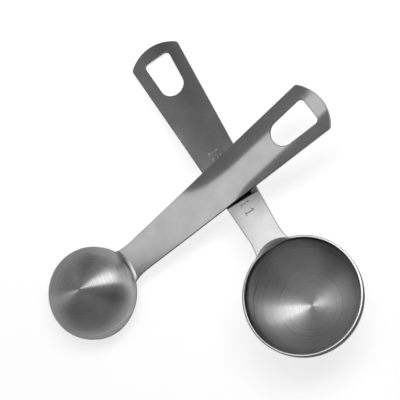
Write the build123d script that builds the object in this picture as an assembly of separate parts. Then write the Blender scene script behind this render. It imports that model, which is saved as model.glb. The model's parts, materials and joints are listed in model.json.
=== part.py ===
from build123d import *
from dataclasses import dataclass
import math
import os

# Two pressed steel measuring spoons of one set. The large one lies right way up, on its bowl and its
# handle's end. The small one lies upside down across it, on its rim and the large one's handle.
# Millimetres. +Z is up and the spoons lie on Z = 0. The large spoon's handle points along +Y.

# Sheet metal, shared by both spoons
sheet = 0.85
edge_break = 0.22
bend_radius = 2.0
bend_slack = 1.1

# Large spoon, one tablespoon
large_bowl_radius = 19.6
large_bowl_lip = 2.5
large_bowl_round = 14.9
large_bowl_shoulder = 12.2
large_reach = 108.8
large_neck_width = 12.7
large_waist_width = 11.3
large_waist_reach = 26.0

# Small spoon, half a tablespoon
small_bowl_radius = 15.75
small_bowl_lip = 2.0
small_bowl_round = 11.4
small_bowl_shoulder = 9.2
small_reach = 106.4
small_neck_width = 13.5
small_waist_width = 11.9
small_waist_reach = 21.7

# Handle end, the same on both spoons
end_width = 20.3
end_arc_radius = 15.4
end_corner_radius = 1.5
neck_corner_radius = 0.8
slot_end_land = 5.1
slot_length = 16.7
slot_width = 10.4
slot_corner_radius = 1.6

# Crown of the handle: flat at the neck, then arched across its width towards the end
crown_radius = 50.0
crown_full_back = 36.0
crown_flat_back = 70.0

# How the small spoon lies across the large one. It leans with the slope of the large one's handle,
# to about where its weight is lowest.
cross_on_large = 48.2
cross_on_small = 64.5
cross_angle = 84.6
lean_angle = 6.0
lay_clearance = 0.1

overrun = 3.0

# How the sheet eases from flat to crowned, and how steep a face counts as a wall
crown_ease_shares = (0, 0, 1, 1)
upright_share = 0.5

# Fineness of the search for the angles at which the spoons come to rest
widest_pitch = math.pi / 8
halvings = 32
outline_steps = 720
along_steps = 80
across_steps = 16


@dataclass
class Spoon:
    """One spoon in its own frame: rim plane at Z = 0, bowl centre at the origin, handle along +X."""

    bowl_radius: float
    lip: float
    round_depth: float
    shoulder: float
    reach: float
    neck_width: float
    waist_width: float
    waist_reach: float

    @property
    def rim_radius(self):
        """Radius of the rim's outer edge."""
        return self.bowl_radius + sheet

    @property
    def crown_flat(self):
        """Distance from the bowl's centre to where the flat neck starts to arch."""
        return self.reach - crown_flat_back

    @property
    def crown_full(self):
        """Distance from the bowl's centre to where the crown is fully formed."""
        return self.reach - crown_full_back

    def half_width(self, x):
        """Half the handle's width at x, along its straight sides."""
        share = (x - self.waist_reach) / (self.reach - self.waist_reach)
        return (self.waist_width + (end_width - self.waist_width) * share) / 2

    def crown_curve(self, x):
        """Curvature of the crown across the handle at x, eased in from the flat neck."""
        share = (x - self.crown_flat) / (self.crown_full - self.crown_flat)
        share = min(max(share, 0), 1)
        return share * share * (3 - 2 * share) / crown_radius

    def top_height(self, x, y):
        """Height of the handle's top face over the rim plane."""
        return -self.crown_curve(x) * y * y / 2

    def side_angle(self):
        """Angle of each straight side to the handle's centre line, in radians."""
        return math.atan2((end_width - self.waist_width) / 2, self.reach - self.waist_reach)

    def end_corner(self):
        """Where the straight side meets the arc of the handle's end."""
        arc_centre = self.reach - end_arc_radius
        slope = math.tan(self.side_angle())
        rise = self.half_width(arc_centre)
        a = 1 + slope * slope
        b = slope * rise
        c = rise * rise - end_arc_radius * end_arc_radius
        run = (-b + math.sqrt(b * b - a * c)) / a
        return arc_centre + run, rise + slope * run

    def dish(self, grow, top):
        """Round body that fills the bowl up to the height top, grown all round by grow.

        Its section is a straight lip, a tight shoulder arc and a wide bottom arc, tangent to each other.
        """
        wall = self.bowl_radius + grow
        shoulder = self.shoulder + grow
        depth = self.round_depth + grow
        run = wall - shoulder
        fall = depth - shoulder
        rise = (run * run - fall * fall) / (2 * fall)
        turn = math.degrees(math.atan2(run, rise))
        bottom = Plane.XZ * CenterArc((0, rise - self.lip), rise + depth, -90, turn)
        curl = Plane.XZ * CenterArc((run, -self.lip), shoulder, turn - 90, 90 - turn)
        section = make_face(
            [
                bottom,
                curl,
                Line((wall, 0, -self.lip), (wall, 0, top)),
                Line((wall, 0, top), (0, 0, top)),
                Line((0, 0, top), (0, 0, -self.lip - depth)),
            ]
        )
        return revolve(section, Axis.Z)

    def capacity(self):
        """Volume that the bowl holds, struck level with its rim."""
        return self.dish(0, 0).volume

    def bowl(self):
        """Drawn bowl under the rim, one sheet thick all over."""
        top = -sheet / 2
        return self.dish(sheet, top) - self.dish(0, top)

    def outline(self):
        """Flat outline of the sheet seen from above: rim circle, flared neck, tapered sides, arched end."""
        half_neck = self.neck_width / 2
        neck_x = math.sqrt(self.rim_radius ** 2 - half_neck ** 2)
        corner_x, corner_y = self.end_corner()
        angle = self.side_angle()
        side = (-math.cos(angle), -math.sin(angle))
        waist = (self.waist_reach, self.waist_width / 2)
        flare = TangentArc([waist, (neck_x, half_neck)], tangent=side)
        flank = Line(waist, (corner_x, corner_y))
        end = ThreePointArc((corner_x, corner_y), (self.reach, 0), (corner_x, -corner_y))
        handle = make_face(
            [
                Line((0, 0), (neck_x, half_neck)),
                flare,
                flank,
                end,
                mirror(flank, Plane.XZ),
                mirror(flare, Plane.XZ),
                Line((neck_x, -half_neck), (0, 0)),
            ]
        )
        ends = handle.vertices().sort_by(Axis.X)[-2:]
        handle = fillet(ends, end_corner_radius)
        whole = handle + Circle(self.rim_radius)
        near = whole.vertices().filter_by_position(Axis.X, 0, self.waist_reach - edge_break)
        corners = [corner for corner in near if abs(abs(corner.Y) - half_neck) < edge_break]
        return fillet(corners, neck_corner_radius)

    def slot(self):
        """Hanging slot: flat towards the handle's end, round towards the bowl, sides along the flanks."""
        angle = self.side_angle()
        flat_x = self.reach - slot_end_land
        half = slot_width / 2
        radius = (half * math.cos(angle) - slot_length * math.sin(angle)) / (1 - math.sin(angle))
        centre_x = flat_x - slot_length + radius
        touch_x = centre_x - radius * math.sin(angle)
        touch_y = radius * math.cos(angle)
        shape = make_face(
            [
                Line((flat_x, -half), (flat_x, half)),
                Line((flat_x, half), (touch_x, touch_y)),
                ThreePointArc((touch_x, touch_y), (centre_x - radius, 0), (touch_x, -touch_y)),
                Line((touch_x, -touch_y), (flat_x, -half)),
            ]
        )
        return fillet(shape.vertices().sort_by(Axis.X)[-2:], slot_corner_radius)

    def crown_blank(self):
        """Arched part of the sheet: an eased stretch that starts flat, then an even crown to the end."""
        half = end_width / 2 + overrun
        rise = half * half / (2 * crown_radius)
        pole = (self.crown_full - self.crown_flat) / (len(crown_ease_shares) - 1)
        poles = [
            [
                (self.crown_flat + pole * i, -half, -rise * ease),
                (self.crown_flat + pole * i, 0, rise * ease),
                (self.crown_flat + pole * i, half, -rise * ease),
            ]
            for i, ease in enumerate(crown_ease_shares)
        ]
        eased = extrude(Face.make_bezier_surface(poles), sheet, dir=(0, 0, -1))
        end = self.crown_full
        crown = Bezier((end, -half, -rise), (end, 0, rise), (end, half, -rise))
        section = make_face(
            [
                crown,
                Line((end, half, -rise), (end, half, -rise - sheet)),
                Pos(0, 0, -sheet) * crown,
                Line((end, -half, -rise - sheet), (end, -half, -rise)),
            ]
        )
        even = extrude(section, self.reach + overrun - end, dir=(1, 0, 0))
        return eased + even

    def blank(self):
        """Sheet before trimming: flat over the bowl and neck, arched beyond."""
        flat = extrude(
            Rectangle(
                self.crown_flat + self.rim_radius + overrun,
                (self.rim_radius + overrun) * 2,
                align=(Align.MAX, Align.CENTER),
            ),
            -sheet,
        )
        return Pos(self.crown_flat, 0, 0) * flat + self.crown_blank()

    def paddle(self):
        """Trimmed sheet, rim disc and handle together, with both its outer edges broken."""
        prism = Pos(0, 0, -end_width) * extrude(self.outline(), end_width * 2)
        trimmed = self.blank() & prism
        walls = [face for face in trimmed.faces() if abs(face.normal_at().Z) < upright_share]
        brim = [edge for wall in walls for edge in wall.edges() if abs((edge % 0.5).Z) < upright_share]
        return chamfer(brim, edge_break)

    def bend_relief(self):
        """What the bend at the neck takes off the corner between the handle's top and the bowl's wall.

        Its circles are centred towards the handle, so that the bend is widest on the centre line and
        runs out into the rim just past the neck's corners.
        """
        radius = self.bowl_radius
        runout = math.asin((self.neck_width / 2 + bend_slack) / radius)
        spread = radius * (1 - math.cos(runout)) + bend_radius
        shift = (radius + bend_radius / 2) * bend_radius / spread
        base = radius - shift
        edge = base + bend_radius
        mid = bend_radius * math.sqrt(0.5)
        arc = ThreePointArc((base, 0, -bend_radius), (edge - mid, 0, mid - bend_radius), (edge, 0, 0))
        section = make_face(
            [
                Line((0, 0, -bend_radius), (base, 0, -bend_radius)),
                arc,
                Line((edge, 0, 0), (edge, 0, overrun)),
                Line((edge, 0, overrun), (0, 0, overrun)),
                Line((0, 0, overrun), (0, 0, -bend_radius)),
            ]
        )
        return Pos(shift, 0, 0) * revolve(section, Axis.Z)

    def bend_fill(self):
        """Inner side of the same bend, under the handle, where it meets the bowl's outer wall."""
        fillet_radius = bend_radius - sheet
        wall = self.rim_radius
        low = -sheet - fillet_radius
        mid = fillet_radius * (1 - math.sqrt(0.5))
        far = wall + fillet_radius
        arc = ThreePointArc((wall, 0, low), (wall + mid, 0, -sheet - mid), (far, 0, -sheet))
        section = make_face(
            [
                arc,
                Line((far, 0, -sheet), (far, 0, -sheet / 2)),
                Line((far, 0, -sheet / 2), (wall - sheet / 2, 0, -sheet / 2)),
                Line((wall - sheet / 2, 0, -sheet / 2), (wall - sheet / 2, 0, low)),
                Line((wall - sheet / 2, 0, low), (wall, 0, low)),
            ]
        )
        trim = Pos(0, 0, low - overrun) * extrude(self.outline(), -low + overrun)
        return revolve(section, Axis.Z) & trim

    def rim_ring(self):
        """The trimmed sheet with the bowl's mouth cut through it and the mouth's edge broken."""
        bore = Pos(0, 0, -self.lip) * Cylinder(self.bowl_radius, self.lip * 2)
        ring = self.paddle() - bore
        rounds = ring.edges().filter_by(GeomType.CIRCLE)
        bores = [edge for edge in rounds if abs(edge.radius - self.bowl_radius) < edge_break]
        mouth = [edge for edge in bores if abs(edge.center().Z) < sheet / 2]
        return chamfer(mouth, edge_break)

    def solid(self):
        """The whole pressing: bowl, rim and handle from one sheet, with its hanging slot."""
        body = self.rim_ring() + self.bowl() + self.bend_fill() - self.bend_relief()
        body -= Pos(0, 0, -end_width) * extrude(self.slot(), end_width * 2)
        middle = self.reach - slot_end_land - slot_length / 2
        walls = [face for face in body.faces() if abs(face.normal_at().Z) < upright_share]
        walls = [face for face in walls if abs(face.center().X - middle) < slot_length / 2 + edge_break]
        walls = [face for face in walls if abs(face.center().Y) < slot_width / 2 + edge_break]
        lips = [edge for wall in walls for edge in wall.edges() if abs((edge % 0.5).Z) < upright_share]
        return chamfer(lips, edge_break).solid()

    def low_point(self, pitch):
        """How far the bowl reaches below its rim centre with the handle's end pitched down."""
        wall = self.rim_radius
        shoulder = self.shoulder + sheet
        depth = self.round_depth + sheet
        run = wall - shoulder
        fall = depth - shoulder
        rise = (run * run - fall * fall) / (2 * fall)
        return (self.lip - rise) * math.cos(pitch) + rise + depth

    def under_edge(self):
        """Places along the outline where the sheet's underside turns into its broken edge."""
        wire = offset(self.outline(), -edge_break).face().outer_wire()
        return [wire @ (step / outline_steps) for step in range(outline_steps)]

    def end_drop(self, pitch, edge):
        """How far the handle's end reaches below the rim centre with that end pitched down."""
        drops = []
        for spot in edge:
            under = sheet - self.top_height(spot.X, spot.Y)
            drops.append(spot.X * math.sin(pitch) + under * math.cos(pitch))
        return max(drops)


def solve(rise):
    """The pitch at which rise, which grows with the pitch, passes zero."""
    low = 0
    high = widest_pitch
    for _ in range(halvings):
        middle = (low + high) / 2
        if rise(middle) > 0:
            high = middle
        else:
            low = middle
    return (low + high) / 2


large = Spoon(
    bowl_radius=large_bowl_radius,
    lip=large_bowl_lip,
    round_depth=large_bowl_round,
    shoulder=large_bowl_shoulder,
    reach=large_reach,
    neck_width=large_neck_width,
    waist_width=large_waist_width,
    waist_reach=large_waist_reach,
)
small = Spoon(
    bowl_radius=small_bowl_radius,
    lip=small_bowl_lip,
    round_depth=small_bowl_round,
    shoulder=small_bowl_shoulder,
    reach=small_reach,
    neck_width=small_neck_width,
    waist_width=small_waist_width,
    waist_reach=small_waist_reach,
)

# The large spoon stands on its bowl and on its handle's end
large_edge = large.under_edge()
large_pitch = solve(lambda pitch: large.end_drop(pitch, large_edge) - large.low_point(pitch))
large_place = Pos(0, 0, large.low_point(large_pitch)) * Rot(Z=90) * Rot(Y=math.degrees(large_pitch))


def small_laid(pitch):
    """Place of the upturned small spoon, standing on its rim, with its handle pitched up."""
    upright = math.cos(pitch) * math.cos(math.radians(lean_angle))
    slant = math.sqrt(1 - upright * upright)
    height = (small.rim_radius - edge_break) * slant
    crossing = Pos(0, cross_on_large * math.cos(large_pitch), height)
    back = Pos(-cross_on_small * math.cos(pitch), 0, 0)
    return crossing * Rot(Z=90 - cross_angle) * back * Rot(Y=-math.degrees(pitch)) * Rot(X=180 - lean_angle)


def lay_gap(pitch):
    """Least gap between the two handles where they cross, square to the large one's sheet."""
    laid = large_place.inverse() * small_laid(pitch)
    gaps = []
    for i in range(along_steps + 1):
        for j in range(across_steps + 1):
            along = cross_on_small + end_width * (i / along_steps - 1 / 2)
            across = small.half_width(along) * (2 * j / across_steps - 1)
            spot = (laid * Pos(along, across, small.top_height(along, across))).position
            if abs(spot.Y) < large.half_width(spot.X):
                gaps.append(spot.Z - large.top_height(spot.X, spot.Y))
    return min(gaps)


# The small spoon lies on its rim and across the large one's handle
small_pitch = solve(lambda pitch: lay_gap(pitch) - lay_clearance)
small_place = small_laid(small_pitch)

# The origin is the middle of the pair's outline, on the table
spoons = {"tablespoon": large_place * large.solid(), "half_tablespoon": small_place * small.solid()}
box = Compound(list(spoons.values())).bounding_box()
centring = Pos(-box.center().X, -box.center().Y, -box.min.Z)

os.makedirs("parts", exist_ok=True)
for name, solid in spoons.items():
    placed = centring * solid
    placed.label = name
    export_step(placed, f"parts/{name}.step")
    print(name, placed.is_valid, len(placed.solids()), round(placed.volume, 3), placed.bounding_box())
print("pitches", math.degrees(large_pitch), math.degrees(small_pitch))
print("capacities, cubic millimetres", large.capacity(), small.capacity())
print("centring", centring.position, "large", large_place.position, "small", small_place.position)
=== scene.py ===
"""Two pressed steel measuring spoons, one laid across the other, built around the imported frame."""

import json
import logging
import math
from dataclasses import dataclass, field
from enum import Enum

import bpy
from mathutils import Euler, Matrix, Vector
from mathutils.geometry import delaunay_2d_cdt

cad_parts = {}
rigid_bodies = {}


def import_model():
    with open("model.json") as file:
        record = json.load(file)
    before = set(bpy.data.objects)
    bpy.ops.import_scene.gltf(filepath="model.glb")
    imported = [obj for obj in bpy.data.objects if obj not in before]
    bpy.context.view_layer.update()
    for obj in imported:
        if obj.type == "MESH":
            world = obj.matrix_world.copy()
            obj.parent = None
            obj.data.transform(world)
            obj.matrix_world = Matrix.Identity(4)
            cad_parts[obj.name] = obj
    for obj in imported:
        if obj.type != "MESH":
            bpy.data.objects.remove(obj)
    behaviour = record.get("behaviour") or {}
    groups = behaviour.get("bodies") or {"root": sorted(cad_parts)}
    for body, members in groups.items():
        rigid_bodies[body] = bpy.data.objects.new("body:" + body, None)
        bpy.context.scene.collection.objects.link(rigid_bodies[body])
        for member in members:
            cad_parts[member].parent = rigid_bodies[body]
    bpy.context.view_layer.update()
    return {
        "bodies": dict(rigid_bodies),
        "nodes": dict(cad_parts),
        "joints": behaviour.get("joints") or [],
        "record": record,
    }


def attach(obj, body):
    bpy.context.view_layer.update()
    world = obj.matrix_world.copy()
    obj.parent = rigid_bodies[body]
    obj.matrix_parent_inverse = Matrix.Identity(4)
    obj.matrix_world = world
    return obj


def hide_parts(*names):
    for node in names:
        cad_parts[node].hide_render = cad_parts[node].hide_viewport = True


LOG = logging.getLogger("scene")

MM = 0.001
WHITE = (1.0, 1.0, 1.0, 1.0)

# Sizes of both pressings, in millimetres.
SHEET = 0.85
EDGE = 0.245
BEND = 2.0
BEND_SLACK = 1.1
MOUTH_LAND = 0.1
END_WIDTH = 20.3
END_ARC = 15.4
END_CORNER = 1.5
NECK_CORNER = 0.8
SLOT_LAND = 5.1
SLOT_LENGTH = 16.7
SLOT_WIDTH = 10.4
SLOT_CORNER = 1.6
CROWN_RADIUS = 50.0
CROWN_FULL_BACK = 36.0
CROWN_FLAT_BACK = 70.0
RIM_MOUNT_BACK = 6.0

# Shares of the room at the neck's corners, for the underside's rounded edge and for the bend.
EDGE_ROOM = 0.6
BEND_ROOM = 0.85

# Facets along each stretch of the surface.
RIM_STEPS = 110
ARC_STEPS = 6
NECK_STEPS = 10
FLARE_STEPS = 16
SIDE_STEPS = 60
CORNER_STEPS = 12
ROUND_STEPS = 24
SLOT_SIDE_STEPS = 14
SLOT_END_STEPS = 5
EDGE_WALL_STEPS = 2
SLOT_WALL_STEPS = 1
MOUTH_STEPS = 12
LIP_STEPS = 3
SHOULDER_STEPS = 18
BOTTOM_STEPS = 20
BEND_STEPS = 16
BELLY_STEPS = 16

# How the flat faces are filled: spacing and tolerance in millimetres, and the choice of triangles.
FILL_PITCH = 1.3
FILL_TOLERANCE = 1e-5
TRIANGLES_INSIDE = 1

# The part of the noise's range that the finish uses, and the noise's detail.
NOISE_LOW = 0.3
NOISE_HIGH = 0.7
RING_DETAIL = 3.0
CLOUD_DETAIL = 4.0

Point2 = tuple[float, float]
Point3 = tuple[float, float, float]
Tree = bpy.types.NodeTree
Socket = bpy.types.NodeSocket


class Side(Enum):
    """The two faces of the sheet."""

    TOP = 0
    UNDER = 1


class Part(Enum):
    """What a face of the pressing belongs to, and so which finish it has."""

    FLAT = 0
    BOWL = 1
    # the cut edges, whose darker finish colour is painted shade along them
    EDGE = 2


def lerp(a: float, b: float, share: float) -> float:
    """The value at that share of the way from a to b."""
    return a + (b - a) * share


def steps(count: int) -> list[float]:
    """Shares from 0 to 1 in count equal steps."""
    return [i / count for i in range(count + 1)]


def quarter(count: int) -> list[Point2]:
    """Sines and cosines over a quarter turn in count equal steps."""
    return [(math.sin(share * math.pi / 2), math.cos(share * math.pi / 2)) for share in steps(count)]


def ahead(start: Point2, way: Point2, run: float) -> Point2:
    """The place that far from a start in a direction."""
    return start[0] + way[0] * run, start[1] + way[1] * run


def unit(x: float, y: float) -> Point2:
    """The plane direction (x, y) at length one."""
    length = math.hypot(x, y)
    return x / length, y / length


def polar(radius: float, angle: float, height: float) -> Point3:
    """The place or direction at that distance and angle from the upright axis."""
    return radius * math.cos(angle), radius * math.sin(angle), height


def new_object(name: str, data: bpy.types.ID) -> bpy.types.Object:
    """A new object in the scene.

    Args:
        name: Its name.
        data: Its mesh, light or camera.

    Returns:
        The object, at the origin.
    """
    obj = bpy.data.objects.new(name, data)
    bpy.context.scene.collection.objects.link(obj)
    return obj


def wire(tree: Tree, node: bpy.types.Node, inputs: dict) -> None:
    """Sets or links a node's inputs.

    Args:
        tree: The node's tree.
        node: The node.
        inputs: A value or another node's socket for each input, by its name or number.
    """
    for name, value in inputs.items():
        if isinstance(value, Socket):
            tree.links.new(value, node.inputs[name])
        else:
            node.inputs[name].default_value = value


def add_node(tree: Tree, kind: str, inputs: dict, **options: str) -> bpy.types.Node:
    """Adds a node, sets its options and then its inputs.

    Args:
        tree: Where the node goes.
        kind: The node's type.
        inputs: A value or another node's socket for each input, by its name or number.
        options: The node's own options.

    Returns:
        The node.
    """
    node = tree.nodes.new(kind)
    for name, option in options.items():
        setattr(node, name, option)
    wire(tree, node, inputs)
    return node


def maths(tree: Tree, operation: str, *values: Socket | float) -> Socket:
    """The result of an arithmetic node on those values."""
    return add_node(tree, "ShaderNodeMath", dict(enumerate(values)), operation=operation).outputs["Value"]


def vector_maths(tree: Tree, operation: str, *values: Socket | Point3) -> bpy.types.Node:
    """An arithmetic node on those vectors."""
    return add_node(tree, "ShaderNodeVectorMath", dict(enumerate(values)), operation=operation)


@dataclass
class Skin:
    """A closed surface gathered from strips, with its exact direction outwards at every corner."""

    weld: float = 1e-4
    points: list[Point3] = field(default_factory=list)
    faces: list[list[int]] = field(default_factory=list)
    normals: list[list[Point3]] = field(default_factory=list)
    parts: list[int] = field(default_factory=list)
    found: dict[tuple[int, int, int], int] = field(default_factory=dict)

    def corner(self, point: Point3) -> int:
        """The number of the corner at a point, a new one if there is none there yet.

        Args:
            point: Place in millimetres.

        Returns:
            The corner's number.
        """
        key = tuple(round(value / self.weld) for value in point)
        if key not in self.found:
            self.found[key] = len(self.points)
            self.points.append(point)
        return self.found[key]

    def face(self, corners: list[tuple[Point3, Point3]], part: Part) -> None:
        """Adds one face and turns it so that it looks outwards.

        Args:
            corners: The place and the outward direction at each corner, in either order of turning.
            part: What the face belongs to.
        """
        kept = []
        for point, normal in corners:
            number = self.corner(point)
            if all(number != other for other, _ in kept):
                kept.append((number, normal))
        if len(kept) < 3:
            return
        facing = Vector((0, 0, 0))
        origin = Vector(self.points[kept[0][0]])
        for i in range(1, len(kept) - 1):
            first = Vector(self.points[kept[i][0]]) - origin
            second = Vector(self.points[kept[i + 1][0]]) - origin
            facing += first.cross(second)
        outward = Vector((0, 0, 0))
        for _, normal in kept:
            outward += Vector(normal)
        if facing.dot(outward) < 0:
            kept.reverse()
        self.faces.append([number for number, _ in kept])
        self.normals.append([normal for _, normal in kept])
        self.parts.append(part.value)

    def grid(self, rows: list[list[tuple[Point3, Point3]]], part: Part) -> None:
        """Adds the faces between rows of equal length.

        Args:
            rows: Rows of places with their outward directions.
            part: What the faces belong to.
        """
        for low, high in zip(rows, rows[1:]):
            for i in range(len(low) - 1):
                self.face([low[i], low[i + 1], high[i + 1], high[i]], part)

    def build(self, name: str, place: Matrix) -> bpy.types.Object:
        """The surface as an object at the origin, with its places moved into the row frame.

        Args:
            name: Name of the object.
            place: The spoon's place in the row frame, from millimetres to metres.

        Returns:
            The object, smooth shaded with its exact directions.
        """
        mesh = bpy.data.meshes.new(name)
        mesh.from_pydata([place @ Vector(point) for point in self.points], [], self.faces)
        turn = place.to_3x3().normalized()
        loops = [turn @ Vector(normal).normalized() for face in self.normals for normal in face]
        mesh.polygons.foreach_set("use_smooth", [True] * len(mesh.polygons))
        mesh.polygons.foreach_set("material_index", self.parts)
        mesh.normals_split_custom_set(loops)
        mesh.update()
        return new_object(name, mesh)


@dataclass(frozen=True)
class Rim:
    """One point of the flat outline: its place, and the direction out of the sheet there."""

    x: float
    y: float
    out: Point2
    on_bowl: bool

    @property
    def turn(self) -> float:
        """Angle round the bowl's centre, in radians."""
        return math.atan2(self.y, self.x)

    @property
    def radius(self) -> float:
        """Distance from the bowl's centre."""
        return math.hypot(self.x, self.y)

    def inset(self, depth: float) -> Point2:
        """The place that far into the sheet."""
        return self.x - self.out[0] * depth, self.y - self.out[1] * depth

    def facing(self, outward: float, up: float) -> Point3:
        """The direction with those parts out of the sheet's edge and up."""
        return self.out[0] * outward, self.out[1] * outward, up

    def mirrored(self) -> "Rim":
        """The same point on the other side of the handle."""
        return Rim(self.x, -self.y, (self.out[0], -self.out[1]), self.on_bowl)


def bow(centre: Point2, radius: float, start: Point2, end: Point2, way: int, count: int) -> list[Rim]:
    """Outline points on an arc, the first one left out.

    Args:
        centre: Centre of the arc.
        radius: Its radius.
        start: Where it starts.
        end: Where it ends.
        way: 1 where the sheet is inside the arc, -1 where it is outside.
        count: Number of steps.

    Returns:
        The points, from start to end.
    """
    a = math.atan2(start[1] - centre[1], start[0] - centre[0])
    b = math.atan2(end[1] - centre[1], end[0] - centre[0])
    swing = (b - a + math.pi) % (2 * math.pi) - math.pi
    points = []
    for share in steps(count)[1:]:
        angle = a + swing * share
        out = (math.cos(angle), math.sin(angle))
        points.append(Rim(*ahead(centre, out, radius), (way * out[0], way * out[1]), False))
    return points


def straight(start: Point2, end: Point2, out: Point2, count: int) -> list[Rim]:
    """Outline points on a straight stretch, the first one left out.

    Args:
        start: Where it starts.
        end: Where it ends.
        out: The direction out of the sheet.
        count: Number of steps.

    Returns:
        The points, from start to end.
    """
    points = []
    for share in steps(count)[1:]:
        points.append(Rim(lerp(start[0], end[0], share), lerp(start[1], end[1], share), out, False))
    return points


@dataclass
class Spoon:
    """One pressed spoon in its own frame: rim plane at height 0, bowl centre at the origin, handle on +X."""

    node: str
    slot_name: str
    bowl_radius: float
    lip: float
    round_depth: float
    shoulder: float
    reach: float
    neck_width: float
    waist_width: float
    waist_reach: float
    brush_centre: Point2 = (0.0, 0.0)

    @property
    def rim_radius(self) -> float:
        """Radius of the rim's outer edge."""
        return self.bowl_radius + SHEET

    @property
    def delta(self) -> float:
        """Angle of each straight side to the handle's centre line."""
        return math.atan2((END_WIDTH - self.waist_width) / 2, self.reach - self.waist_reach)

    def crown(self, x: float) -> tuple[float, float]:
        """Curvature of the crown at x and how fast it changes along the handle.

        Args:
            x: Distance from the bowl's centre along the handle.

        Returns:
            The curvature and its rate.
        """
        start = self.reach - CROWN_FLAT_BACK
        span = CROWN_FLAT_BACK - CROWN_FULL_BACK
        share = min(max((x - start) / span, 0.0), 1.0)
        curve = share * share * (3 - 2 * share) / CROWN_RADIUS
        rate = 6 * share * (1 - share) / span / CROWN_RADIUS
        return curve, rate

    def arched(self, point: Point3, normal: Point3) -> tuple[Point3, Point3]:
        """Moves a point of the flat pressing, and its direction outwards, onto the crowned one.

        Args:
            point: Place on the flat pressing.
            normal: Direction outwards there.

        Returns:
            The place and the direction on the crowned pressing.
        """
        x, y, z = point
        curve, rate = self.crown(x)
        slope_x = -rate * y * y / 2
        slope_y = -curve * y
        bent = (normal[0] - normal[2] * slope_x, normal[1] - normal[2] * slope_y, normal[2])
        return (x, y, z - curve * y * y / 2), bent

    def half_outline(self) -> list[Rim]:
        """One half of the outline, from the bowl's far side round to the tip of the handle.

        Returns:
            The points on the side where y is positive.
        """
        wide = self.rim_radius
        half_neck = self.neck_width / 2
        neck = (math.sqrt(wide * wide - half_neck * half_neck), half_neck)
        waist = (self.waist_reach, self.waist_width / 2)
        along = (math.cos(self.delta), math.sin(self.delta))
        side = (-along[1], along[0])
        gap = (neck[0] - waist[0], neck[1] - waist[1])
        flare = (gap[0] ** 2 + gap[1] ** 2) / (2 * (gap[0] * side[0] + gap[1] * side[1]))
        far = ahead(waist, side, flare)
        inner = meet((0.0, 0.0), wide + NECK_CORNER, far, flare - NECK_CORNER, neck)
        start = (inner[0] * wide / (wide + NECK_CORNER), inner[1] * wide / (wide + NECK_CORNER))
        away = unit(inner[0] - far[0], inner[1] - far[1])
        leave = ahead(far, away, flare)
        outline: list[Rim] = []
        first = math.atan2(start[1], start[0])
        for share in steps(RIM_STEPS):
            angle = lerp(math.pi, first, share)
            out = (math.cos(angle), math.sin(angle))
            outline.append(Rim(wide * out[0], wide * out[1], out, True))
        outline += bow(inner, NECK_CORNER, start, leave, -1, NECK_STEPS)
        outline += bow(far, flare, leave, waist, -1, FLARE_STEPS)
        centre_x = self.reach - END_ARC
        corner = self.end_corner(waist, along, side, centre_x)
        touch = ahead(corner, side, END_CORNER)
        outline += straight(waist, touch, side, SIDE_STEPS)
        out = unit(corner[0] - centre_x, corner[1])
        last = ahead((centre_x, 0.0), out, END_ARC)
        outline += bow(corner, END_CORNER, touch, last, 1, CORNER_STEPS)
        outline += bow((centre_x, 0.0), END_ARC, last, (self.reach, 0.0), 1, ROUND_STEPS)
        return outline

    def end_corner(self, waist: Point2, along: Point2, side: Point2, centre_x: float) -> Point2:
        """Centre of the rounded corner between the straight side and the arc of the end.

        Args:
            waist: Where the straight side starts.
            along: Its direction.
            side: The direction out of it.
            centre_x: Distance of the end arc's centre from the bowl's.

        Returns:
            The corner's centre.
        """
        base = (waist[0] - side[0] * END_CORNER - centre_x, waist[1] - side[1] * END_CORNER)
        wide = END_ARC - END_CORNER
        b = base[0] * along[0] + base[1] * along[1]
        c = base[0] ** 2 + base[1] ** 2 - wide * wide
        run = -b + math.sqrt(b * b - c)
        return ahead((base[0] + centre_x, base[1]), along, run)

    def ease_at(self, rim: Rim) -> float:
        """How much of the underside's edge radius there is room for next to the bowl's wall."""
        room = rim.radius - self.rim_radius
        return min(1.0, EDGE_ROOM * max(room, 0.0) / (EDGE + BEND - SHEET))

    def edge_strip(self, skin: Skin, outline: list[Rim], walls: int) -> None:
        """A cut edge of the sheet, with both its corners rounded.

        Args:
            skin: Where the faces go.
            outline: The outline of the pressing or of its slot.
            walls: Number of steps down the upright wall between the corners.
        """
        over, wall, under = [], [], []
        small = [(rim, EDGE * self.ease_at(rim)) for rim in outline]
        for sin, cos in quarter(ARC_STEPS):
            inset = EDGE * (1 - sin)
            drop = -EDGE * (1 - cos)
            over.append([self.arched((*rim.inset(inset), drop), rim.facing(sin, cos)) for rim in outline])
            row = []
            for rim, radius in small:
                point = (*rim.inset(radius * (1 - cos)), -SHEET + radius * (1 - sin))
                row.append(self.arched(point, rim.facing(cos, -sin)))
            under.append(row)
        for share in steps(walls):
            row = []
            for rim, radius in small:
                point = (rim.x, rim.y, lerp(-EDGE, -SHEET + radius, share))
                row.append(self.arched(point, rim.facing(1.0, 0.0)))
            wall.append(row)
        for rows in (over, wall, under):
            skin.grid(rows, Part.EDGE)

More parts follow.
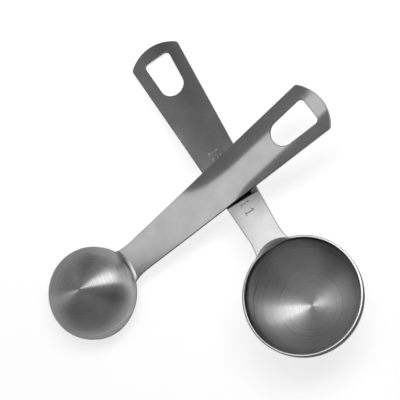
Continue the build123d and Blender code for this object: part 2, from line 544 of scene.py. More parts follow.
    def slot_outline(self) -> list[Rim]:
        """The hanging slot's outline, all round, each direction pointing out of the sheet into the slot.

        Returns:
            The points, closed, from the slot's round end.
        """
        flat_x = self.reach - SLOT_LAND
        half = SLOT_WIDTH / 2
        sin = math.sin(self.delta)
        cos = math.cos(self.delta)
        radius = (half * cos - SLOT_LENGTH * sin) / (1 - sin)
        centre_x = flat_x - SLOT_LENGTH + radius
        touch = (centre_x - radius * sin, radius * cos)
        corner = (flat_x - SLOT_CORNER, half - SLOT_CORNER * (1 + sin) / cos)
        leave = ahead(corner, (-sin, cos), SLOT_CORNER)
        top = [Rim(centre_x - radius, 0.0, (1.0, 0.0), False)]
        top += bow((centre_x, 0.0), radius, (centre_x - radius, 0.0), touch, -1, ROUND_STEPS)
        top += straight(touch, leave, (sin, -cos), SLOT_SIDE_STEPS)
        top += bow(corner, SLOT_CORNER, leave, (flat_x, corner[1]), -1, CORNER_STEPS)
        top += straight((flat_x, corner[1]), (flat_x, 0.0), (-1.0, 0.0), SLOT_END_STEPS)
        return top + [rim.mirrored() for rim in reversed(top)]

    def wall_profile(self, grow: float) -> list[tuple[float, float, float, float]]:
        """The bowl's section from the lip down to the bottom, with the direction away from the hollow.

        Args:
            grow: 0 for the inside, the sheet's thickness for the outside.

        Returns:
            One tuple of radius, height, and the direction's radial and vertical parts for each step.
        """
        wall = self.bowl_radius + grow
        shoulder = self.shoulder + grow
        depth = self.round_depth + grow
        run = wall - shoulder
        fall = depth - shoulder
        rise = (run * run - fall * fall) / (2 * fall)
        turn = math.atan2(run, rise)
        section = []
        for share in steps(SHOULDER_STEPS):
            angle = share * (math.pi / 2 - turn)
            out = (math.cos(angle), -math.sin(angle))
            section.append((run + shoulder * out[0], -self.lip + shoulder * out[1], out[0], out[1]))
        radius = rise + depth
        for share in steps(BOTTOM_STEPS)[1:]:
            angle = lerp(turn, 0.0, share)
            out = (math.sin(angle), -math.cos(angle))
            section.append((radius * out[0], rise - self.lip + radius * out[1], out[0], out[1]))
        return section

    def bend_ring(self) -> tuple[float, float]:
        """The neck bend's shift towards the handle, and the radius where it meets the top face.

        Returns:
            The shift and the radius.
        """
        radius = self.bowl_radius
        runout = math.asin((self.neck_width / 2 + BEND_SLACK) / radius)
        spread = radius * (1 - math.cos(runout)) + BEND
        shift = (radius + BEND / 2) * BEND / spread
        return shift, radius - shift + BEND

    def mouth_point(self, angle: float, radius: float) -> tuple[float, Point3]:
        """Height of the top face at the bowl's mouth, and its direction outwards.

        Args:
            angle: Turn round the bowl's centre.
            radius: Distance from the bowl's centre.

        Returns:
            The height and the direction.
        """
        inner = self.bowl_radius
        shift, edge = self.bend_ring()
        short = min(max(inner + EDGE - radius, 0.0), EDGE)
        round_z = -EDGE + math.sqrt(EDGE * EDGE - short * short)
        x = radius * math.cos(angle) - shift
        y = radius * math.sin(angle)
        reach = math.hypot(x, y)
        lack = min(max(edge - reach, 0.0), BEND)
        bend_z = -BEND + math.sqrt(BEND * BEND - lack * lack)
        if bend_z < round_z:
            out = (-lack / BEND * x / reach, -lack / BEND * y / reach, (bend_z + BEND) / BEND)
            return bend_z, out
        share = short / EDGE
        return round_z, (-share * math.cos(angle), -share * math.sin(angle), (round_z + EDGE) / EDGE)

    def mouth_width(self, angle: float) -> float:
        """How far the rounded mouth reaches out from the bowl's inner wall at that angle.

        Args:
            angle: Turn round the bowl's centre.

        Returns:
            The width, which is the edge's radius away from the neck.
        """
        shift, edge = self.bend_ring()
        side = shift * math.sin(angle)
        reach = shift * math.cos(angle) + math.sqrt(max(edge * edge - side * side, 0.0))
        return max(reach - self.bowl_radius, EDGE)

    def bowl_strips(
        self,
        skin: Skin,
        turns: list[float],
        bends: dict[float, float],
        edge: list[Point2],
    ) -> list[Point2]:
        """The bowl inside and out, with its rounded mouth and the inner side of the neck bend.

        Args:
            skin: Where the faces go.
            turns: Angles round the bowl, in order and closed.
            bends: The neck bend's inner radius at each angle of the neck.
            edge: The outline of the flat top face, which the mouth stays inside.

        Returns:
            The mouth's outer edge on the flat top face.
        """
        inner = self.bowl_radius
        widths = [self.mouth_width(angle) for angle in turns]
        spans = [min(w, reach_at(a, edge) - inner - MOUTH_LAND) for a, w in zip(turns, widths)]
        rows = []
        for _, cos in quarter(MOUTH_STEPS):
            part = 1 - cos
            row = []
            for angle, width, span in zip(turns, widths, spans):
                height, normal = self.mouth_point(angle, inner + width * part)
                row.append((polar(inner + span * part, angle, height), normal))
            rows.append(row)
        skin.grid(rows, Part.BOWL)
        self.lip_wall(skin, turns, inner, [self.mouth_point(angle, inner)[0] for angle in turns], -1)
        self.dome(skin, turns, 0.0, -1)
        self.lip_wall(skin, turns, self.rim_radius, [-SHEET - bends.get(angle, 0.0) for angle in turns], 1)
        self.dome(skin, turns, SHEET, 1)
        return [(point[0], point[1]) for point, _ in rows[-1][:-1]]

    def lip_wall(self, skin: Skin, turns: list[float], radius: float, tops: list[float], way: int) -> None:
        """The straight wall of the bowl's lip, on one side of the sheet.

        Args:
            skin: Where the faces go.
            turns: Angles round the bowl, in order and closed.
            radius: The wall's radius.
            tops: The height that it starts at for each angle.
            way: 1 for the outside, -1 for the inside.
        """
        rows = []
        for share in steps(LIP_STEPS):
            row = []
            for angle, top in zip(turns, tops):
                row.append((polar(radius, angle, lerp(top, -self.lip, share)), polar(way, angle, 0.0)))
            rows.append(row)
        skin.grid(rows, Part.BOWL)

    def dome(self, skin: Skin, turns: list[float], grow: float, way: int) -> None:
        """The bowl's rounded part as a grid that closes in one pole.

        Args:
            skin: Where the faces go.
            turns: Angles round the bowl, in order and closed.
            grow: 0 for the inside, the sheet's thickness for the outside.
            way: 1 for the outside, -1 for the inside.
        """
        rows = []
        for radius, height, out_r, out_z in self.wall_profile(grow):
            rows.append([(polar(radius, a, height), polar(way * out_r, a, way * out_z)) for a in turns])
        skin.grid(rows, Part.BOWL)

    def bend_strip(self, skin: Skin, neck: list[Point2]) -> list[Point2]:
        """The neck bend's inner side, under the handle, where it meets the bowl's outer wall.

        Args:
            skin: Where the faces go.
            neck: Angles along the neck with the bend's radius at each, in order.

        Returns:
            The bend's outer edge on the flat underside.
        """
        rows = []
        for sin, cos in quarter(ARC_STEPS):
            row = []
            for turn, small in neck:
                point = polar(self.rim_radius + small * (1 - cos), turn, -SHEET - small * (1 - sin))
                row.append((point, polar(cos, turn, -sin)))
            rows.append(row)
        skin.grid(rows, Part.BOWL)
        return [(point[0], point[1]) for point, _ in rows[-1]]

    def sheet_face(self, skin: Skin, side: Side, loops: list[list[Point2]]) -> None:
        """One face of the sheet, filled between its outline and its openings.

        Args:
            skin: Where the faces go.
            side: The top or the underside.
            loops: The outline, then the openings.
        """
        height = 0.0 if side is Side.TOP else -SHEET
        normal = (0.0, 0.0, 1.0 if side is Side.TOP else -1.0)
        spots: list[Point2] = []
        edges: list[tuple[int, int]] = []
        for loop in loops:
            first = len(spots)
            spots += loop
            edges += [(first + i, first + (i + 1) % len(loop)) for i in range(len(loop))]
        bound = len(spots)
        spots += self.fill_spots(loops)
        filled = delaunay_2d_cdt([Vector(s) for s in spots], edges, [], TRIANGLES_INSIDE, FILL_TOLERANCE)
        points, _, faces, origins, _, _ = filled
        places: list[Point2] = []
        for point, sources in zip(points, origins):
            known = [source for source in sources if source < bound]
            places.append(spots[known[0]] if known else (point.x, point.y))
        for face in faces:
            middle = tuple(sum(places[i][axis] for i in face) / len(face) for axis in (0, 1))
            if inside(middle, loops):
                skin.face([self.arched((*places[i], height), normal) for i in face], Part.FLAT)

    def fill_spots(self, loops: list[list[Point2]]) -> list[Point2]:
        """Places inside the sheet's face that let it follow the crown.

        Args:
            loops: The outline, then the openings.

        Returns:
            The places, in staggered rows.
        """
        spots = []
        start = self.reach - CROWN_FLAT_BACK - FILL_PITCH
        half = int(END_WIDTH / 2 / FILL_PITCH) + 2
        for i in range(int((self.reach - start) / FILL_PITCH) + 1):
            for j in range(-half, half + 1):
                spot = (start + i * FILL_PITCH, (j + (i % 2) / 2) * FILL_PITCH)
                if inside(spot, loops) and clearance(spot, loops) > FILL_PITCH / 2:
                    spots.append(spot)
        return spots

    def surface(self) -> Skin:
        """The whole pressing as one closed surface.

        Returns:
            The surface, in the spoon's own millimetres.
        """
        skin = Skin()
        half = self.half_outline()
        outline = half + [rim.mirrored() for rim in reversed(half)][1:]
        self.edge_strip(skin, outline, EDGE_WALL_STEPS)
        rim_turns = [rim.turn for rim in half if rim.on_bowl]
        neck = self.neck_bend(half)
        turns = rim_turns[:-1] + [turn for turn, _ in neck] + [-turn for turn in reversed(rim_turns[:-1])]
        top = [rim.inset(EDGE) for rim in outline[:-1]]
        mouth = self.bowl_strips(skin, turns, dict(neck), top)
        bend = self.bend_strip(skin, neck)
        opening = self.slot_outline()
        self.edge_strip(skin, opening, SLOT_WALL_STEPS)
        hole = [rim.inset(EDGE) for rim in opening[:-1]]
        self.sheet_face(skin, Side.TOP, [top, mouth, hole])
        under = [rim.inset(EDGE * self.ease_at(rim)) for rim in outline if not rim.on_bowl]
        self.sheet_face(skin, Side.UNDER, [under + list(reversed(bend)), hole])
        return skin

    def neck_bend(self, half: list[Rim]) -> list[Point2]:
        """The neck bend's inner side seen from the bowl's centre, from one side of the neck to the other.

        Args:
            half: One half of the outline.

        Returns:
            Angles with the bend's radius there, which runs out to nothing at the neck's corners.
        """
        full = BEND - SHEET
        corner = [rim for rim in half if rim.on_bowl][-1]
        side = [(corner.turn, 0.0)]
        for rim in half:
            x, y = rim.inset(EDGE * self.ease_at(rim))
            angle = math.atan2(y, x)
            if rim.on_bowl or angle >= side[-1][0] or side[-1][1] == full:
                continue
            room = math.hypot(x, y) - self.rim_radius
            side.append((angle, min(full, BEND_ROOM * room)))
        far = side[-1][0]
        middle = [(lerp(far, -far, share), full) for share in steps(BEND_STEPS)[1:-1]]
        return side + middle + [(-angle, radius) for angle, radius in reversed(side)]

    def place(self, mounts: dict[str, dict]) -> Matrix:
        """The spoon's place in the row frame, from its own millimetres to metres.

        Args:
            mounts: The record's mounts by name.

        Returns:
            The matrix that moves and turns the spoon.
        """
        rim = mounts[self.node + "_rim_face"]
        hole = mounts[self.node + "_hang_slot"]
        up = Vector(rim["axis"]).normalized()
        start = Vector(rim["pos_m"])
        along = Vector(hole["pos_m"]) + up * (SHEET * MM / 2) - start
        along = (along - up * along.dot(up)).normalized()
        across = up.cross(along)
        centre = start - along * ((self.reach - CROWN_FLAT_BACK - RIM_MOUNT_BACK) * MM)
        turn = Matrix((along, across, up)).transposed().to_4x4()
        return Matrix.Translation(centre) @ turn @ Matrix.Scale(MM, 4)

    def build(self, frame: dict, finishes: dict[Part, "Steel"]) -> bpy.types.Object:
        """Builds the spoon, dresses it and lets it ride on its body.

        Args:
            frame: The loaded frame.
            finishes: The finish of each part.

        Returns:
            The spoon's object.
        """
        place = self.place(mounts_of(frame))
        obj = self.surface().build(self.node + "_pressing", place)
        for part in Part:
            name = f"{self.slot_name}_{part.name.lower()}"
            obj.data.materials.append(finishes[part].material(name, place, self.brush_centre))
        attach(obj, self.node)
        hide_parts(self.node)
        LOG.info("%s: %d faces", obj.name, len(obj.data.polygons))
        return obj


class Digit(Enum):
    """The plain digits on the handle, each by its strokes on a figure one high."""

    ONE = "1"
    FIVE = "5"

    def strokes(self) -> list[list[Point2]]:
        """The digit's strokes, each a run of points measured from the figure's lower left corner.

        Returns:
            The strokes.
        """
        if self is Digit.ONE:
            return [[(0.06, 0.76), (0.3, 1.0), (0.3, 0.0)], [(0.08, 0.0), (0.52, 0.0)]]
        middle, belly = 0.26, 0.31
        start, end = 140.0, -145.0
        stroke = [(0.52, 1.0), (0.06, 1.0)]
        for share in steps(BELLY_STEPS):
            angle = math.radians(lerp(start, end, share))
            stroke.append((middle + belly * math.cos(angle), belly + belly * math.sin(angle)))
        return [stroke]


@dataclass
class Numbers:
    """Plain numbers as thin strokes on the handle's face, read from its tip towards the bowl."""

    spoon: Spoon
    runs: tuple[tuple[float, tuple[Digit, ...]], ...]
    height: float = 3.3
    pitch: float = 2.9
    stroke: float = 0.34
    depth: float = 0.08
    step: float = 0.2

    def lines(self, name: str) -> bpy.types.Object:
        """The strokes as bare lines on the flat handle, in the spoon's own millimetres.

        Args:
            name: Name of the object.

        Returns:
            The object with the lines.
        """
        points: list[Point3] = []
        edges: list[tuple[int, int]] = []
        for start, digits in self.runs:
            for place, digit in enumerate(digits):
                left = start - place * self.pitch
                for stroke in digit.strokes():
                    first = len(points)
                    points += [(left - x * self.height, (0.5 - y) * self.height, 0.0) for x, y in stroke]
                    edges += [(i, i + 1) for i in range(first, len(points) - 1)]
        mesh = bpy.data.meshes.new(name)
        mesh.from_pydata(points, edges, [])
        return new_object(name, mesh)

    def tree(self) -> Tree:
        """Geometry nodes that lay a stroke of even width along each line, over the handle's crown.

        Returns:
            The node tree, with its sizes and its finish as named inputs.
        """
        tree = bpy.data.node_groups.new("number_strokes", "GeometryNodeTree")
        face = tree.interface
        face.new_socket("Geometry", in_out="INPUT", socket_type="NodeSocketGeometry")
        for label in ("Stroke width", "Stroke depth", "Step", "Crown radius", "Crown start", "Crown full"):
            face.new_socket(label, in_out="INPUT", socket_type="NodeSocketFloat")
        face.new_socket("Finish", in_out="INPUT", socket_type="NodeSocketMaterial")
        face.new_socket("Geometry", in_out="OUTPUT", socket_type="NodeSocketGeometry")
        sizes = add_node(tree, "NodeGroupInput", {}).outputs
        place = add_node(tree, "GeometryNodeInputPosition", {}).outputs["Position"]
        split = add_node(tree, "ShaderNodeSeparateXYZ", {"Vector": place}).outputs
        ramp = {"Value": split["X"], "From Min": sizes["Crown start"], "From Max": sizes["Crown full"]}
        ease = add_node(tree, "ShaderNodeMapRange", ramp, interpolation_type="SMOOTHSTEP").outputs["Result"]
        square = maths(tree, "MULTIPLY", split["Y"], split["Y"])
        arch = maths(tree, "MULTIPLY", maths(tree, "DIVIDE", square, sizes["Crown radius"]), ease)
        shift = add_node(tree, "ShaderNodeCombineXYZ", {"Z": maths(tree, "MULTIPLY", arch, -0.5)})
        line = add_node(tree, "GeometryNodeMeshToCurve", {"Mesh": sizes["Geometry"]}).outputs["Curve"]
        even = {"Curve": line, "Length": sizes["Step"]}
        line = add_node(tree, "GeometryNodeResampleCurve", even, mode="LENGTH").outputs["Curve"]
        crowned = {"Geometry": line, "Offset": shift.outputs["Vector"]}
        line = add_node(tree, "GeometryNodeSetPosition", crowned).outputs["Geometry"]
        line = add_node(tree, "GeometryNodeSetCurveNormal", {"Curve": line}, mode="Z_UP").outputs["Curve"]
        section = {"Width": sizes["Stroke width"], "Height": sizes["Stroke depth"]}
        shape = add_node(tree, "GeometryNodeCurvePrimitiveQuadrilateral", section).outputs["Curve"]
        sweep = {"Curve": line, "Profile Curve": shape, "Fill Caps": True}
        stroke = add_node(tree, "GeometryNodeCurveToMesh", sweep).outputs["Mesh"]
        real = add_node(tree, "GeometryNodeRealizeInstances", {"Geometry": stroke}).outputs["Geometry"]
        dressed = add_node(tree, "GeometryNodeSetMaterial", {"Geometry": real, "Material": sizes["Finish"]})
        add_node(tree, "NodeGroupOutput", {"Geometry": dressed.outputs["Geometry"]})
        return tree

    def build(self, frame: dict, finish: bpy.types.Material) -> bpy.types.Object:
        """Builds the numbers on the spoon's handle and lets them ride with it.

        Args:
            frame: The loaded frame.
            finish: The strokes' material.

        Returns:
            The numbers' object.
        """
        name = self.spoon.node + "_numbers"
        drawn = self.lines(name + "_lines")
        tree = self.tree()
        modifier = drawn.modifiers.new("numbers", "NODES")
        modifier.node_group = tree
        values = {
            "Stroke width": self.stroke,
            "Stroke depth": self.depth,
            "Step": self.step,
            "Crown radius": CROWN_RADIUS,
            "Crown start": self.spoon.reach - CROWN_FLAT_BACK,
            "Crown full": self.spoon.reach - CROWN_FULL_BACK,
            "Finish": finish,
        }
        for item in tree.interface.items_tree:
            if item.in_out == "INPUT" and item.name in values:
                modifier[item.identifier] = values[item.name]
        drawn.update_tag()
        ready = drawn.evaluated_get(bpy.context.evaluated_depsgraph_get())
        mesh = bpy.data.meshes.new_from_object(ready)
        bpy.data.objects.remove(drawn)
        mesh.name = name
        mesh.transform(self.spoon.place(mounts_of(frame)))
        obj = new_object(name, mesh)
        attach(obj, self.spoon.node)
        LOG.info("%s: %d faces", obj.name, len(mesh.polygons))
        return obj


def mounts_of(frame: dict) -> dict[str, dict]:
    """The record's mounts by name, whether it keeps them by name or in a list."""
    mounts = frame["record"]["mounts"]
    return mounts if isinstance(mounts, dict) else {mount["name"]: mount for mount in mounts}


def meet(a: Point2, radius_a: float, b: Point2, radius_b: float, near: Point2) -> Point2:
    """Where two circles cross, the crossing nearer to a given place.

    Args:
        a: Centre of the first circle.
        radius_a: Its radius.
        b: Centre of the second circle.
        radius_b: Its radius.
        near: The place.

    Returns:
        The crossing.
    """
    gap = math.hypot(b[0] - a[0], b[1] - a[1])
    along = ((b[0] - a[0]) / gap, (b[1] - a[1]) / gap)
    reach = (gap * gap + radius_a * radius_a - radius_b * radius_b) / (2 * gap)
    side = math.sqrt(radius_a * radius_a - reach * reach)
    spots = []
    for way in (-1, 1):
        x = a[0] + along[0] * reach - along[1] * side * way
        y = a[1] + along[1] * reach + along[0] * side * way
        spots.append((x, y))
    return min(spots, key=lambda spot: math.hypot(spot[0] - near[0], spot[1] - near[1]))


def inside(spot: Point2, loops: list[list[Point2]]) -> bool:
    """True where a place is inside the first loop and outside the others.

    Args:
        spot: The place.
        loops: The outline, then the openings.

    Returns:
        Whether it is.
    """
    hit = False
    for loop in loops:
        for a, b in zip(loop, loop[1:] + loop[:1]):
            if (a[1] > spot[1]) != (b[1] > spot[1]):
                cross = a[0] + (spot[1] - a[1]) * (b[0] - a[0]) / (b[1] - a[1])
                if spot[0] < cross:
                    hit = not hit
    return hit


def reach_at(angle: float, loop: list[Point2]) -> float:
    """Distance from the origin to a loop round it, in the direction of an angle.

    Args:
        angle: The direction.
        loop: The loop's corners.

    Returns:
        The distance to the nearest crossing.
    """
    cos = math.cos(angle)
    sin = math.sin(angle)
    reaches = []
    for a, b in zip(loop, loop[1:] + loop[:1]):
        side_a = a[1] * cos - a[0] * sin
        side_b = b[1] * cos - b[0] * sin
        if (side_a > 0) != (side_b > 0):
            share = side_a / (side_a - side_b)
            reach = lerp(a[0], b[0], share) * cos + lerp(a[1], b[1], share) * sin
            if reach > 0:
                reaches.append(reach)
    return min(reaches)


def clearance(spot: Point2, loops: list[list[Point2]]) -> float:
    """Distance from a place to the nearest corner of the loops."""
    return min(math.hypot(spot[0] - x, spot[1] - y) for loop in loops for x, y in loop)


@dataclass(frozen=True)
class Steel:
    """Stainless steel, brushed in rings round the bowl."""

    colour: Point3 = (0.5, 0.5, 0.5)
    edge: Point3 = (0.1, 0.1, 0.1)
    roughness: float = 0.34
    stretch: float = 1.0
    rings_per_mm: float = 3.0
    ring_height: float = 0.002
    ring_share: float = 0.25
    uneven: float = 0.12
    cloud_size: float = 7.0
    cloudy: float = 0.06

    def material(self, name: str, place: Matrix, centre: Point2) -> bpy.types.Material:
        """The finish for one spoon.

        Args:
            name: Name of the material.
            place: The spoon's place, in which its brushing turns.
            centre: Centre of the brushed rings, in the spoon's own millimetres.

        Returns:
            The material.
        """
        material = bpy.data.materials.new(name)
        material.use_nodes = True
        tree = material.node_tree
        across = self.from_centre(tree, place, centre)
        gloss, normal = self.brushed_rings(tree, across)
        finish = {
            "Base Color": self.clouds(tree, across),
            "Metallic": 1.0,
            "Roughness": gloss,
            "Specular Tint": (*self.edge, 1.0),
            "Anisotropic": self.stretch,
            "Tangent": self.brush_direction(tree, across, place.to_euler()),
            "Normal": normal,
        }
        wire(tree, tree.nodes["Principled BSDF"], finish)
        return material

    def from_centre(self, tree: Tree, place: Matrix, centre: Point2) -> Socket:
        """The place on the sheet as seen from the brushing's centre, in the plane of the rim.

        Args:
            tree: The material's nodes.
            place: The spoon's place.
            centre: The brushing's centre.

        Returns:
            The socket with the place, in metres and in the spoon's own axes.
        """
        where = add_node(tree, "ShaderNodeTexCoord", {}).outputs["Object"]
        turned = {"Vector": where, "Location": place @ Vector((*centre, 0.0)), "Rotation": place.to_euler()}
        local = add_node(tree, "ShaderNodeMapping", turned, vector_type="TEXTURE").outputs["Vector"]
        return vector_maths(tree, "MULTIPLY", local, (1.0, 1.0, 0.0)).outputs["Vector"]

    def brush_direction(self, tree: Tree, across: Socket, turn: Euler) -> Socket:
        """The direction away from the brushing's centre, which the gloss is stretched along.

        Args:
            tree: The material's nodes.
            across: The place as seen from the centre.
            turn: The spoon's turn.

        Returns:
            The socket with the direction, in the scene's axes.
        """
        back = {"Vector": across, "Rotation": turn}
        outward = add_node(tree, "ShaderNodeMapping", back, vector_type="VECTOR").outputs["Vector"]
        spaces = {"vector_type": "VECTOR", "convert_from": "OBJECT", "convert_to": "WORLD"}
        world = add_node(tree, "ShaderNodeVectorTransform", {"Vector": outward}, **spaces)
        return vector_maths(tree, "NORMALIZE", world.outputs["Vector"]).outputs["Vector"]

    def brushed_rings(self, tree: Tree, across: Socket) -> tuple[Socket, Socket]:
        """Fine rings that vary the gloss and the height.

        Args:
            tree: The material's nodes.
            across: The place as seen from the centre.

        Returns:
            The sockets with the roughness and the normal.
        """
        radius = vector_maths(tree, "LENGTH", across).outputs["Value"]
        grain = {"W": radius, "Scale": self.rings_per_mm / MM, "Detail": RING_DETAIL}
        rings = add_node(tree, "ShaderNodeTexNoise", grain, noise_dimensions="1D").outputs["Fac"]
        spread = {
            "Value": rings,
            "From Min": NOISE_LOW,
            "From Max": NOISE_HIGH,
            "To Min": self.roughness * (1 - self.uneven),
            "To Max": self.roughness * (1 + self.uneven),
        }
        gloss = add_node(tree, "ShaderNodeMapRange", spread).outputs["Result"]
        relief = {"Height": rings, "Strength": self.ring_share, "Distance": self.ring_height * MM}
        return gloss, add_node(tree, "ShaderNodeBump", relief).outputs["Normal"]

    def clouds(self, tree: Tree, across: Socket) -> Socket:
        """Faint handling marks that vary the metal's shade over a few millimetres.

        Args:
            tree: The material's nodes.
            across: The place as seen from the centre.

        Returns:
            The socket with the metal's colour.
        """
        grain = {"Vector": across, "Scale": 1 / (self.cloud_size * MM), "Detail": CLOUD_DETAIL}
        stains = add_node(tree, "ShaderNodeTexNoise", grain).outputs["Fac"]
        shade = add_node(tree, "ShaderNodeValToRGB", {"Fac": stains})
        dark, light = shade.color_ramp.elements
        ends = ((dark, NOISE_LOW, 1 - self.cloudy), (light, NOISE_HIGH, 1 + self.cloudy))
        for end, position, share in ends:
            end.position = position
            end.color = (*(value * share for value in self.colour), 1.0)
        return shade.outputs["Color"]


@dataclass(frozen=True)
class Lamp:
    """A soft box over the table, placed by the direction in which it is seen from the table's middle."""

    name: str
    right: float
    up: float
    turn: float
    wide: float
    high: float
    glow: float
    distance: float = 0.55

    def build(self, across: Vector, along: Vector) -> None:
        """Adds the lamp to the scene.

        Args:
            across: Direction on the table that the picture shows as right.
            along: Direction on the table that the picture shows as up.
        """
        height = math.sqrt(1 - self.right * self.right - self.up * self.up)
        toward = across * self.right + along * self.up + Vector((0, 0, height))
        turn = math.radians(self.turn)
        side = across * math.cos(turn) + along * math.sin(turn)
        side = (side - toward * side.dot(toward)).normalized()
        upward = toward.cross(side)
        light = bpy.data.lights.new(self.name, "AREA")
        light.shape = "RECTANGLE"
        light.size = self.wide
        light.size_y = self.high
        light.energy = self.glow * math.pi * self.wide * self.high
        turned = Matrix((side, upward, toward)).transposed().to_4x4()
        new_object(self.name, light).matrix_world = Matrix.Translation(toward * self.distance) @ turned


@dataclass(frozen=True)
class Shade:
    """A soft darker area of the surroundings, placed by the direction in which it is seen."""

    right: float
    up: float
    spread: float
    change: float

    def laid_over(self, tree: Tree, place: Socket, total: Socket | float) -> Socket:
        """Adds the area to the surroundings.

        Args:
            tree: The surroundings' nodes.
            place: The direction's parts along the picture's right and up.
            total: The strength without the area.

        Returns:
            The strength with it.
        """
        away = vector_maths(tree, "DISTANCE", place, (self.right, self.up, 0.0)).outputs["Value"]
        square = maths(tree, "POWER", away, 2.0)
        bell = maths(tree, "EXPONENT", maths(tree, "MULTIPLY", square, -0.5 / self.spread**2))
        return maths(tree, "MULTIPLY_ADD", bell, self.change, total)


@dataclass(frozen=True)
class Studio:
    """Pale table, even surroundings and soft boxes."""

    lamps: tuple[Lamp, ...]
    shades: tuple[Shade, ...]
    size: float = 3.0
    surroundings: float = 0.23
    paper_colour: float = 0.8
    paper_lift: float = 0.68
    across: Point3 = (0.8475, -0.5309, 0.0)
    along: Point3 = (0.5309, 0.8475, 0.0)

    def build(self) -> None:
        """Adds the table, the surroundings' light and the lamps."""
        half = self.size / 2
        mesh = bpy.data.meshes.new("table")
        corners = [(-half, -half, 0), (half, -half, 0), (half, half, 0), (-half, half, 0)]
        mesh.from_pydata(corners, [], [(0, 1, 2, 3)])
        table = new_object("table", mesh)
        table.data.materials.append(self.paper())
        bpy.context.scene.world = self.sky()
        for lamp in self.lamps:
            lamp.build(Vector(self.across), Vector(self.along))

    def sky(self) -> bpy.types.World:
        """Even surroundings with a few soft darker areas.

        Returns:
            The surroundings.
        """
        world = bpy.data.worlds.new("surroundings")
        world.use_nodes = True
        tree = world.node_tree
        where = add_node(tree, "ShaderNodeTexCoord", {}).outputs["Generated"]
        right = vector_maths(tree, "DOT_PRODUCT", where, self.across).outputs["Value"]
        up = vector_maths(tree, "DOT_PRODUCT", where, self.along).outputs["Value"]
        place = add_node(tree, "ShaderNodeCombineXYZ", {"X": right, "Y": up}).outputs["Vector"]
        total = 1.0
        for shade in self.shades:
            total = shade.laid_over(tree, place, total)
        glow = maths(tree, "MULTIPLY", maths(tree, "MAXIMUM", total, 0.0), self.surroundings)
        wire(tree, tree.nodes["Background"], {"Color": WHITE, "Strength": glow})
        return world

    def paper(self) -> bpy.types.Material:
        """White paper that keeps the shadow.

        Returns:
            The table's material.
        """
        material = bpy.data.materials.new("paper")
        material.use_nodes = True
        tree = material.node_tree
        path = add_node(tree, "ShaderNodeLightPath", {}).outputs
        seen = maths(tree, "MAXIMUM", path["Is Camera Ray"], path["Is Glossy Ray"])
        seen = maths(tree, "MAXIMUM", seen, path["Is Transmission Ray"])
        finish = {
            "Base Color": (self.paper_colour, self.paper_colour, self.paper_colour, 1.0),
            "Roughness": 1.0,
            "Specular IOR Level": 0.0,
            "Emission Color": WHITE,
            "Emission Strength": maths(tree, "MULTIPLY", seen, self.paper_lift),
        }
        wire(tree, tree.nodes["Principled BSDF"], finish)
        return material


@dataclass(frozen=True)
class Viewpoint:
    """The camera, at the photograph's viewing angle."""

    aim: Point3 = (0.00556, 0.00631, 0.0)
    distance: float = 0.3954
    tilt: float = 13.31
    azimuth: float = -61.86
    heading: Point3 = (0.5309, 0.8475, 0.0)
    lens: float = 99.3
    sensor: float = 36.0
    near: float = 0.01

    def build(self) -> None:
        """Adds the camera and makes it the scene's own."""
        tilt = math.radians(self.tilt)
        turn = math.radians(self.azimuth)
        back = Vector((math.sin(tilt) * math.cos(turn), math.sin(tilt) * math.sin(turn), math.cos(tilt)))
        right = (-back).cross(Vector(self.heading)).normalized()
        up = right.cross(-back)
        camera = bpy.data.cameras.new("camera")
        camera.lens = self.lens
        camera.sensor_width = self.sensor
        camera.clip_start = self.near
        obj = new_object("camera", camera)
        turned = Matrix((right, up, back)).transposed().to_4x4()
        obj.matrix_world = Matrix.Translation(Vector(self.aim) + back * self.distance) @ turned
        bpy.context.scene.camera = obj


def pair() -> tuple[Spoon, Spoon]:
    """Both spoons by their sizes in millimetres, the same as in the CAD.

    Returns:
        The larger spoon and the smaller one.
    """
    tablespoon = Spoon(
        node="tablespoon",
        slot_name="tablespoon_steel",
        bowl_radius=19.6,
        lip=2.5,
        round_depth=14.9,
        shoulder=12.2,
        reach=108.8,
        neck_width=12.7,
        waist_width=11.3,
        waist_reach=26.0,
        brush_centre=(-0.83, 0.27),
    )
    half_tablespoon = Spoon(
        node="half_tablespoon",
        slot_name="half_tablespoon_steel",
        bowl_radius=15.75,
        lip=2.0,
        round_depth=11.4,
        shoulder=9.2,
        reach=106.4,
        neck_width=13.5,
        waist_width=11.9,
        waist_reach=21.7,
        brush_centre=(1.35, -0.2),
    )
    return tablespoon, half_tablespoon


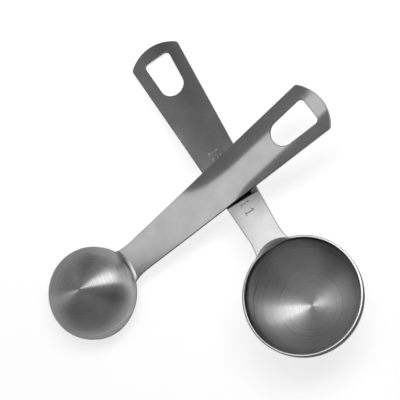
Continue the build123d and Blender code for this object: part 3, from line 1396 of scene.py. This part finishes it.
def steels() -> dict[Part, Steel]:
    """The finish of each part of a spoon; the cut edges' darker colour is painted shade that draws a dark
    outline along them.

    Returns:
        The finishes, the same for both spoons.
    """
    return {
        Part.FLAT: Steel(
            colour=(0.56, 0.56, 0.56),
            roughness=0.1,
            stretch=0.2,
            rings_per_mm=2.0,
            ring_height=0.0005,
            uneven=0.1,
        ),
        Part.BOWL: Steel(edge=(0.15, 0.15, 0.15), uneven=0.2),
        # the cut edges are the same steel: their darker colour is painted shade, drawn as a dark outline
        # along the sheet's edge
        Part.EDGE: Steel(colour=(0.3, 0.3, 0.3), roughness=0.3, stretch=0.0),
    }


def studio() -> Studio:
    """The lamps, and the darker areas of the surroundings.

    Returns:
        The studio with both.
    """
    lamps = (
        Lamp("key", right=0.22, up=0.43, turn=18.0, wide=0.44, high=0.2, glow=2.9),
        Lamp("middle", right=-0.18, up=0.27, turn=14.0, wide=0.1, high=0.14, glow=1.2),
        Lamp("fill", right=-0.48, up=0.205, turn=12.0, wide=0.24, high=0.15, glow=0.65),
    )
    shades = (
        Shade(right=0.55, up=-0.1, spread=0.22, change=-1.0),
        Shade(right=-0.36, up=0.74, spread=0.15, change=-1.1),
        Shade(right=-0.67, up=-0.39, spread=0.25, change=-0.9),
        Shade(right=0.1, up=-0.92, spread=0.25, change=-0.4),
    )
    return Studio(lamps=lamps, shades=shades)


def main() -> None:
    """Builds the spoons, the numbers, the camera, the table and the light."""
    logging.basicConfig(level=logging.INFO, format="%(name)s %(message)s")
    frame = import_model()
    tablespoon, half_tablespoon = pair()
    for spoon in (tablespoon, half_tablespoon):
        spoon.build(frame, steels())
    numbers = Numbers(
        tablespoon,
        runs=((61.3, (Digit.ONE, Digit.FIVE)), (39.0, (Digit.ONE,)), (35.4, (Digit.ONE,))),
    )
    stroke = Steel(colour=(0.62, 0.62, 0.62), roughness=0.5, stretch=0.0)
    place = tablespoon.place(mounts_of(frame))
    numbers.build(frame, stroke.material("tablespoon_numbers", place, (0.0, 0.0)))
    Viewpoint().build()
    studio().build()
    bpy.context.scene.view_settings.view_transform = "Standard"


if __name__ == "__main__":
    main()
